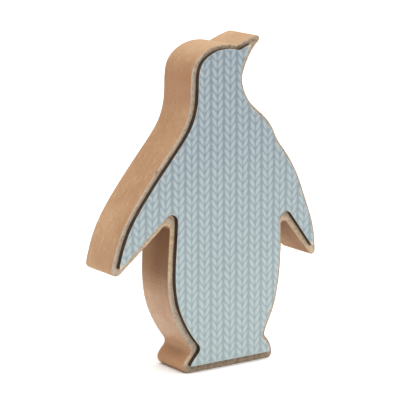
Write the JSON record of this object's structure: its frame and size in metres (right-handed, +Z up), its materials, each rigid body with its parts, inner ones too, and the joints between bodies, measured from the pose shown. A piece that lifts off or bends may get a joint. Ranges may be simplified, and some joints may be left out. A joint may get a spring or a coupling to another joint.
{
  "type": "wooden penguin shelf ornament",
  "caption": "Flat wooden penguin that stands on a shelf: a thick sanded block with a thin laser-cut board on its front, faced in paper printed as pale blue knitting.",
  "frame": {"origin": "middle of the bounding box at the bottom of the foot, on the shelf", "axes": "+Z up, -Y out of the printed front, +X to the right of someone facing the front, the side the beak points to"},
  "size_m": [0.1279, 0.0278, 0.1716],
  "materials": {
    "block_wood": "sanded fibreboard, bare and matt",
    "board_wood": "laser-cut board, its edge burnt dark brown",
    "glue": "dried wood glue, satin",
    "print": "matt paper printed with a pale blue-grey stocking stitch"
  },
  "bodies": {
    "root": {"backing_block": "block_wood", "front_panel": "board_wood", "panel_glue_film": "glue", "printed_paper": "print"}
  },
  "joints": []
}
